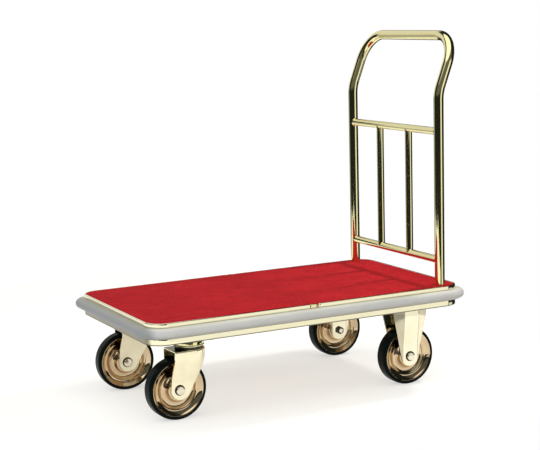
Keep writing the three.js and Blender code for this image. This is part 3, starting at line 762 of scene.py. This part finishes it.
def yoke_skin():
    """Half of the yoke's outside as a grid. A column starts on the crown, follows the shoulder (inset R (1 -
    cos b), drop R (1 - sin b)) and runs down to the sheet's edge. Columns are spaced round the crown's
    outline: straight along the leg, then 40 cos t, 34.5 sin t round the back."""
    straight = crown_front * (1 + np.cos(np.linspace(0, np.pi, 26))) / 2
    # The last column is shared with the other half, at the middle of the back.
    t = np.linspace(0, np.pi / 2, 30)[1:]
    columns_x = np.concatenate([straight, crown_back * np.sin(t)])
    columns_w = np.concatenate([np.ones(26), np.cos(t)])
    b = np.linspace(0, np.pi / 2, 7)
    inset = shoulder * (1 - np.sin(b))[:, None]
    half = yoke_head - inset
    back = crown_back - inset
    top_x = np.where(columns_x < 0, columns_x, columns_x / crown_back * back)
    top_y = columns_w * half
    top_z = np.broadcast_to(crown_z - shoulder * (1 - np.cos(b))[:, None], top_x.shape)
    share = np.linspace(0, 1, 56)[1:]
    start = crown_z - shoulder
    c = np.clip((columns_x - crown_front) / (0 - crown_front), 0, 1)

    def at_height(z):
        """x of each column at a height: the leg's front edge slants, and its back stays put."""
        return columns_x + (1 - c) * (leg_front(z) - crown_front)

    # Each column's foot is where its own x meets the leg's end, found by going half way to it forty times.
    low = np.full_like(columns_x, 150 * MM)
    for _ in range(40):
        low = 0.5 * low + 0.5 * leg_end(at_height(low))
    z = start + (low - start) * share[:, None]
    x = at_height(z)
    y = columns_w * drawing(z, yoke_head, leg_foot, 158 * MM, 98 * MM)
    return np.stack([np.concatenate([top_x, x]), np.concatenate([top_y, y]), np.concatenate([top_z, z])], -1)


def crown_face(half, hole):
    """The flat of the crown: a ring of faces from the hole's circle to the shoulder's upper edge."""
    rim = half[0]
    front = np.linspace(1, -1, 12)[1:-1, None] * rim[0] * [0, 1, 0] + rim[0] * [1, 0, 1]
    loop = np.concatenate([rim[::-1], front, (rim * mirror)[:-1]])
    angle = np.arctan2(loop[:, 1], loop[:, 0])
    inner = np.stack([hole * np.cos(angle), hole * np.sin(angle), loop[:, 2]], 1)
    return grid(np.stack([loop, (loop + inner) / 2, inner]), False, True)


def turned_about(points, centre, angle):
    """Points turned about the vertical line through a centre."""
    c, s = np.cos(angle), np.sin(angle)
    turn = np.array([[c, -s, 0], [s, c, 0], [0, 0, 1]])
    return points @ turn.T + centre


def thickness(made, sheet, bevel):
    """Gives a skin its sheet thickness on the inside, and breaks the sheet's edges."""
    wall = made.modifiers.new("sheet", "SOLIDIFY")
    wall.thickness = sheet
    wall.offset = -1
    wall.use_even_offset = True
    soft = made.modifiers.new("edges", "BEVEL")
    soft.width = bevel
    soft.segments = 2
    soft.limit_method = "ANGLE"
    soft.angle_limit = np.radians(50)
    soft.harden_normals = True


def axle_angle(spin):
    """How far a wheel's axle is turned from straight across the cart."""
    return np.arctan2(-spin["axis"][0], spin["axis"][1])


yoke_brass = polished_metal("yoke_brass", (0.88, 0.82, 0.60, 1), (0.72, 0.63, 0.43, 1), 0.10, 0.12 * MM)
# Painted shade: the crown's flat top, under the ball race, is darkened in the colour.
paint_shade(yoke_brass, yoke_brass.along("Z").between(crown_z - 1.8 * MM, crown_z - 0.6 * MM))
yoke_half = yoke_skin()
sides = [yoke_half, yoke_half * mirror]
crown = crown_face(yoke_half, 8.6 * MM)
for name, joint in swivels.items():
    angle = axle_angle(joints[f"{name}_wheel_spin"])
    centre = np.array([*joint["pos_m"][:2], 0.0])
    skins = [grid(skin) for skin in sides] + [crown]
    parts = [(turned_about(points, centre, angle), faces) for points, faces in skins]
    body = f"{name}_swivel"
    yoke = piece(f"{name}_pressed_yoke", parts, yoke_brass, body, [f"{name}_yoke"], 60)
    thickness(yoke, leg_sheet, 0.5 * MM)

# ---- the fixed forks ----
# Pressed from one sheet: a top plate bolted to the rear rail, and two legs with a flat panel over the axle
# and flanks swept back from it, drawn together towards the axle.
fork_head, panel, fold_bend, flank = 36.5 * MM, 22 * MM, 2.5 * MM, np.tan(np.radians(20))
axle_z = 75 * MM


def fork_reach(z):
    """Half the leg's width at a height: tapering from the plate to the round foot about the axle."""
    return np.interp(z, np.array([75, 131, 184, 201]) * MM, np.array([25, 37.4, 49.5, 50.5]) * MM)


def swept_back(x):
    """How far the leg has gone in from its panel at x: 0 on the panel, and flank * (|x| - panel) beyond the
    fold, with the fold drawn as a hyperbola, flank * (d + sqrt(d^2 + bend^2)) / 2 for d = |x| - panel."""
    beyond = np.abs(x) - panel
    return flank * (beyond + np.sqrt(beyond**2 + fold_bend**2)) / 2


def fork_leg():
    """One leg's outside as a grid: x = c * reach(z), and y = half(z) * (1 - swept_back(x) / head). Its foot
    ends on a circle about the axle, and its top stops under the plate."""
    c = np.sin(np.linspace(-np.pi / 2, np.pi / 2, 61))
    low = axle_z - np.sqrt(np.maximum(foot_radius**2 * (1 - c**2), 0))
    top = plate_bottom - 1.2 * MM
    z = top + (low - top) * np.linspace(0, 1, 60)[:, None]
    x = c * fork_reach(np.maximum(z, axle_z))
    half = drawing(z, fork_head, leg_foot, 185 * MM, 98 * MM, 0.08)
    return np.stack([x, half * (1 - swept_back(x) / fork_head), z], -1)


fork_brass = polished_metal("fork_brass", (0.88, 0.83, 0.63, 1), (0.74, 0.66, 0.47, 1), 0.10, 0.12 * MM)
from_axle = fork_brass.along("X") - joints["rear_left_wheel_spin"]["pos_m"][0]
panels_out = from_axle * from_axle * (1 / panel**2)  # squared: 1 at the folds
# Painted shade: thin dark lines just inside the folds.
painted_fold_shade = panels_out.between(0.86, 0.93) * (1 - panels_out.between(1.0, 1.10))
below_plate = 1 - fork_brass.along("Z").between(plate_bottom - 8.7 * MM, plate_bottom - 0.7 * MM)
leading = 1 - from_axle.between(-3 * MM, 3 * MM)
# Painted dark reflection: the flanks beyond the folds are darkened below the plate, most on the side towards
# the cart's front end.
paint_shade(fork_brass, painted_fold_shade * 0.55 + panels_out.between(0.95, 1.15) * below_plate * (leading * 0.34 + 0.10))
leg = fork_leg()
for name in ("rear_left", "rear_right"):
    centre = np.array([*joints[f"{name}_wheel_spin"]["pos_m"][:2], 0.0])
    legs = [grid(leg + centre), grid(leg * mirror + centre)]
    fork = piece(f"{name}_fork_legs", legs, fork_brass, "platform", [f"{name}_fork"], 60)
    thickness(fork, leg_sheet, 0.5 * MM)
    points, faces = caster_plate(114 * MM, 80 * MM, 8 * MM)
    # The weld that joins each leg to the plate, a small rounded bead along the leg's top.
    spread = np.linspace(-48 * MM, 48 * MM, 50)
    weld_y = fork_head - swept_back(spread) + 0.3 * MM
    ends = np.clip((1 - np.abs(spread) / np.abs(spread).max()) * 12, 0.05, 1) ** 0.5
    bead = circle(1.9 * MM, 12) * ends[:, None, None]
    welds = []
    for way in (-1, 1):
        line = np.stack([spread, way * weld_y, np.full(50, plate_bottom - 0.2 * MM)], 1) + centre
        welds.append(carried(bead, line, np.tile(across_deck, (50, 1)), upright(50)))
    plate = [(points + centre, faces), *welds]
    piece(f"{name}_fork_plate", plate, fork_brass, "platform")
    plate_bolts(f"{name}_plate_bolts", centre, 44 * MM, 15 * MM)

# ---- the wheels ----
# Two pressed discs with a bronze-toned plating, bolted back to back over a turned hub, and a solid rubber
# tyre held between their rims. Each disc has a cone inside the rim, a round dish and a boss over the hub.
bronze = polished_metal("bronze_plate", (0.66, 0.52, 0.34, 1), (0.42, 0.28, 0.15, 1), 0.07, 0.08 * MM)
# The disc's profile in millimetres: its flat back, the cone, a round dish between the cone and the boss, the
# boss.
dish_radius, dish_half = 11.4, 9.6
dish = dish_half * np.linspace(-1, 1, 17)
dish = np.stack([38.8 - dish, 2.6 + dish_radius - np.sqrt(dish_radius**2 - dish**2)], 1)
cone = np.linspace(0, 1, 13)
cone = np.stack([64.8 - 13.4 * cone, 17.4 - 7.2 * cone - 5.2 * cone * (1 - cone)], 1)
back = softened([(22.3, 0.2), (50, 0.2), (52.6, 7.6), (66, 16.2), (66, 17.8)], [0.3, 1.2, 1.2, 0.5, 0.5])
wheel_boss = softened([(27.6, 10), (27.2, 19.6), (22.3, 20.6)], [0.5, 1.6, 0.5], 5)
disc = np.concatenate([back[2:-1], cone, dish, wheel_boss[:-2]])
tyre_half = [(53.8, 7.0), (66.9, 15.9), (66.9, 18.2), (70.5, 19), (73.9, 16.4), (75, 11.5)]
tyre = softened(
    [(r, -y) for r, y in tyre_half] + [(r, y) for r, y in reversed(tyre_half)],
    [0.5, 0.5, 0.5, 2.2, 2.0, 3.0, 3.0, 2.0, 2.2, 0.5, 0.5, 0.5],
    6,
)
hub = softened([(8.3, -21.3), (22, -21.3), (22, 21.3), (8.3, 21.3)], [0.5, 0.9, 0.9, 0.5])
black = Finish("tyre_rubber", Specular_IOR_Level=0.03, Coat_Weight=0.012, Coat_Roughness=0.06)
wear = black.noise(black.place(), 38, 4, 0.6)
scuff = black.noise(black.place(), 420, 3, 0.7)
soot = black.blend(wear.between(0.3, 0.8), (0.0020, 0.0046, 0.0038, 1), (0.0040, 0.0078, 0.0066, 1))
black.set(Base_Color=black.blend(scuff.between(0.62, 0.85) * 0.3, soot, (0.016, 0.020, 0.019, 1)))
black.set(Roughness=wear * 0.14 + 0.20, Normal=black.relief(wear * 0.5 + scuff * 0.5, 0.25 * MM, 0.5))


spins = {key.removesuffix("_wheel_spin"): joint for key, joint in joints.items() if "wheel_spin" in key}


def on_axle(profile, spin, segments, way=1, closed_profile=True):
    """A profile in millimetres turned about an axle's own line, with its heights along the axle or, for a way
    of -1, against it."""
    points = turned(np.asarray(profile) * [MM, way * MM], segments, "y")
    return grid(turned_about(points, np.array(spin["pos_m"]), axle_angle(spin)), closed_profile, True)


for name, spin in spins.items():
    body = spin["child"]
    side = -1 if "left" in name else 1
    for which, way in (("outer", side), ("inner", -side)):
        shell = on_axle(disc, spin, 144, way)
        packed = [f"{name}_{which}_wheel_disc"]
        piece(f"{name}_{which}_disc", [shell], bronze, body, packed, 40)
    piece(f"{name}_hub", [on_axle(hub, spin, 96)], zinc, body, [f"{name}_wheel_hub"], 40)
    tread = on_axle(tyre, spin, 160)
    piece(f"{name}_rubber_tyre", [tread], black, body, [f"{name}_tyre"], 50)

# ---- the axles ----
# Each wheel turns on a bolt with a low round head, which has a dark washer under it and a hexagon nut on the
# other leg.
axle_bolt = [(0, 31.5), (9.0, 31.4), (9.8, 31.1), (10.4, 30.4), (10.6, 29.4), (10.6, 26.5)]
axle_bolt += [(8, 26.5), (8, -24.8), (6, -24.8), (6, -36.6), (5.2, -37.5), (0, -37.5)]
washer = softened([(8.3, 25), (13, 25), (13, 26.2), (8.3, 26.2)], [0.1, 0.4, 0.4, 0.1])
head_metal = polished_metal("head_metal", (0.80, 0.74, 0.62, 1), (0.66, 0.58, 0.45, 1), 0.18)
for name, spin in spins.items():
    body = spin["parent"]
    head = 1 if name == "rear_right" else -1
    bolt = on_axle(axle_bolt, spin, 64, head, False)
    piece(f"{name}_bolt", [bolt], head_metal, body, [f"{name}_axle_bolt"])
    ring = on_axle(washer, spin, 64, head)
    piece(f"{name}_washer", [ring], cage_steel, body, [f"{name}_axle_washer"])
    nut = hexagon(9.5 * MM, 25 * MM, 34.5 * MM, 1.2 * MM)[..., [0, 2, 1]] * [1, -head, 1]
    nut = grid(turned_about(nut, np.array(spin["pos_m"]), axle_angle(spin)), False, True)
    piece(f"{name}_nut", [nut], cage_steel, body, [f"{name}_axle_nut"], 28)

# ---- the studio ----
# A lit white floor, a warm white backdrop behind the cart, soft light overhead and a tall strip beside the
# camera. The rest of the room is dark, which is what gives polished tube its dark bands, and the floor leaves
# out the corner that the flanks of the near fixed fork mirror.
floor_mesh = bpy.data.meshes.new("floor")
corners = [(-2.2, -1.7, 0), (-0.1, -1.7, 0), (-0.1, -0.6, 0), (0.85, -0.6, 0), (0.85, 1.7, 0), (-2.2, 1.7, 0)]
floor_mesh.from_pydata(corners, [], [tuple(range(len(corners)))])
floor = bpy.data.objects.new("floor", floor_mesh)
bpy.context.scene.collection.objects.link(floor)
paper = Finish("paper", Base_Color=(0.52, 0.52, 0.51, 1), Roughness=0.9, Specular_IOR_Level=0.1)
paper.set(Emission_Color=(1.0, 0.99, 0.97, 1), Emission_Strength=0.58)
floor_mesh.materials.append(paper.material)

world = bpy.data.worlds.new("studio")
bpy.context.scene.world = world
world.use_nodes = True


class Room(Finish):
    """The world's node tree, with the same sums as a finish."""

    def __init__(self, world):
        self.tree = world.node_tree
        self.tree.nodes.clear()


room = Room(world)
split = room.node("SeparateXYZ", {}, {0: room.node("TexCoord", {}, {}, 0)})
x, y, z = (Wire(room, socket) for socket in split.socket.node.outputs)


def facing(azimuth, spread_inner, spread_outer):
    """1 where the level direction is within the inner angle of the azimuth, 0 beyond the outer one."""
    a = np.radians(azimuth)
    flat_length = (x * x + y * y + 1e-6) ** 0.5
    match = (x * float(np.sin(a)) + y * float(-np.cos(a))) / flat_length
    return match.between(float(np.cos(np.radians(spread_outer))), float(np.cos(np.radians(spread_inner))))


low = 1 - z.between(-0.205, -0.190)
below = 1 - z.between(-0.05, 0.02)
behind = facing(184, 28, 31) * 0.80 * (1 - below) + facing(206, 12, 15) * 0.45 * below
backdrop = behind * (1 - z.between(0.55, 0.70))
dim = (facing(-10, 18, 24) * 0.5 + facing(62, 14, 18) * 0.75) * low
strip = facing(26, 15, 17) * (1 - z.between(0.16, 0.28))
overhead = (x * -0.30 + y * -0.10 + z * 0.94).between(0.70, 0.80)
haze = facing(-30, 50, 80) * z.between(0.02, 0.15) * 0.12
glow = backdrop + strip + dim + haze + overhead * 1.35 + 0.02
shade = room.blend(glow * 5, (0.80, 1.0, 0.88, 1), (1.0, 0.985, 0.93, 1))
camera_ray = room.node("LightPath", {}, {}, "Is Camera Ray")
lit = room.node("Background", {}, {"Color": shade, "Strength": glow})
white = room.node("Background", {}, {"Color": (1, 1, 1, 1), "Strength": 1.0})
mixed = room.node("MixShader", {}, {0: camera_ray, 1: lit, 2: white})
output = room.tree.nodes.new("ShaderNodeOutputWorld")
room.tree.links.new(mixed.socket, output.inputs["Surface"])
for name, at, size, power, tint in (
    ("front_fill", (-0.9, -2.4, 1.2), 1.8, 17, (1.0, 0.98, 0.95)),
    ("left_fill", (-2.6, -0.3, 0.8), 1.6, 14, (0.78, 0.88, 1.0)),
    ("right_fill", (2.2, -1.3, 0.8), 1.6, 12, (1.0, 0.96, 0.90)),
    ("rear_key", (1.7, 0.1, 1.9), 0.35, 26, (1.0, 0.97, 0.92)),
):
    lamp = bpy.data.lights.new(name, "AREA")
    lamp.shape = "DISK"
    lamp.size = size
    lamp.energy = power
    lamp.color = tint
    lamp.specular_factor = 0
    fill = bpy.data.objects.new(name, lamp)
    bpy.context.scene.collection.objects.link(fill)
    fill.location = at
    fill.rotation_euler = (Vector((0, 0, 0.1)) - Vector(at)).to_track_quat("-Z", "Y").to_euler()
    fill.visible_glossy = False
    fill.visible_camera = False
bpy.context.scene.view_settings.view_transform = "Standard"

# ---- the camera ----
# Level with a person's waist, in front of the left long side and towards the free end, with the horizon a
# little off level.
camera_data = bpy.data.cameras.new("camera")
camera_data.sensor_width = 36
camera_data.lens = 95.33
camera = bpy.data.objects.new("camera", camera_data)
bpy.context.scene.collection.objects.link(camera)
turn, tilt, roll = np.radians([-27.40, 8.67, -1.445])
away = np.array([np.sin(turn) * np.cos(tilt), -np.cos(turn) * np.cos(tilt), np.sin(tilt)])
right = np.array([np.cos(turn), np.sin(turn), 0])
above = np.cross(away, right)
axes = np.stack(
    [right * np.cos(roll) + above * np.sin(roll), above * np.cos(roll) - right * np.sin(roll), away], 1
)
target = np.array([0.2071, 0.3901, 0.3500])
placing = np.eye(4)
placing[:3, :3] = axes
placing[:3, 3] = target + away * 4.1132
camera.matrix_world = Matrix(placing)
bpy.context.scene.camera = camera
